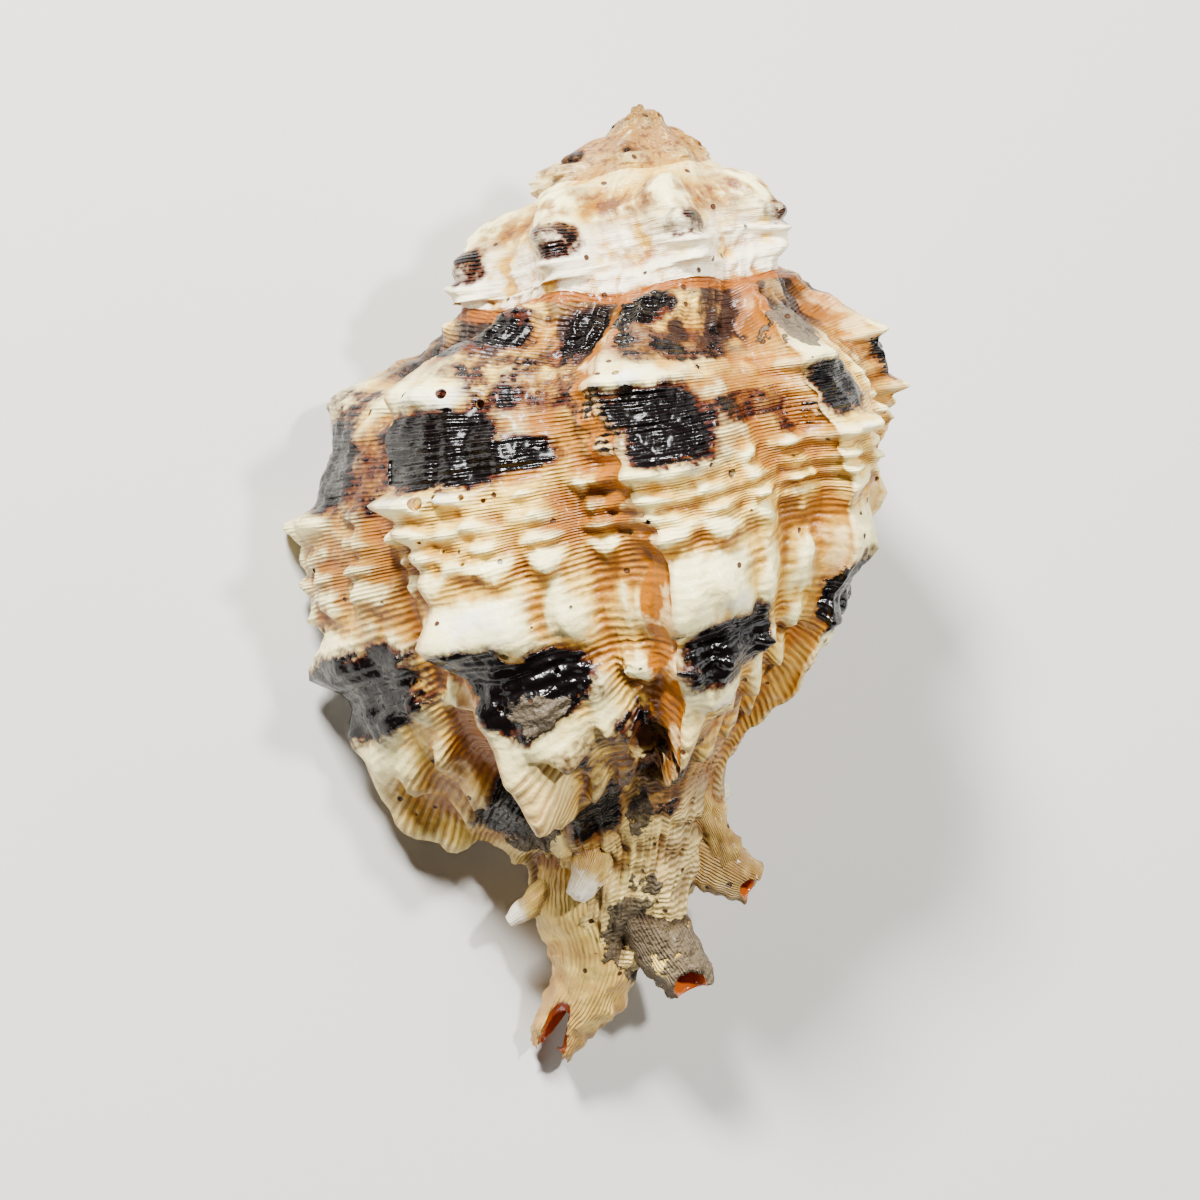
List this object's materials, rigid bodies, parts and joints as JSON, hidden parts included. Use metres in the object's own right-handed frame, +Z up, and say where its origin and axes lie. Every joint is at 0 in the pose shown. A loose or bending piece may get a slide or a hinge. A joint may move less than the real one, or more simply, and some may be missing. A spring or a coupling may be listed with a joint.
{
  "type": "murex shell",
  "caption": "Large right-handed murex sea shell with knobbed varices, dark banded patches and an open siphonal canal, lying on its aperture.",
  "frame": {"origin": "centre of the bottom of the bounding box, on the surface the shell rests on", "axes": "+Z up, +Y towards the tip of the spire, -X the side of the outer lip"},
  "size_m": [0.0644, 0.1078, 0.0542],
  "materials": {
    "shell": "oiled natural shell, satin to gloss, cream with black-brown patches and orange varix edges"
  },
  "bodies": {
    "root": {"murex_shell": "shell"}
  },
  "joints": []
}
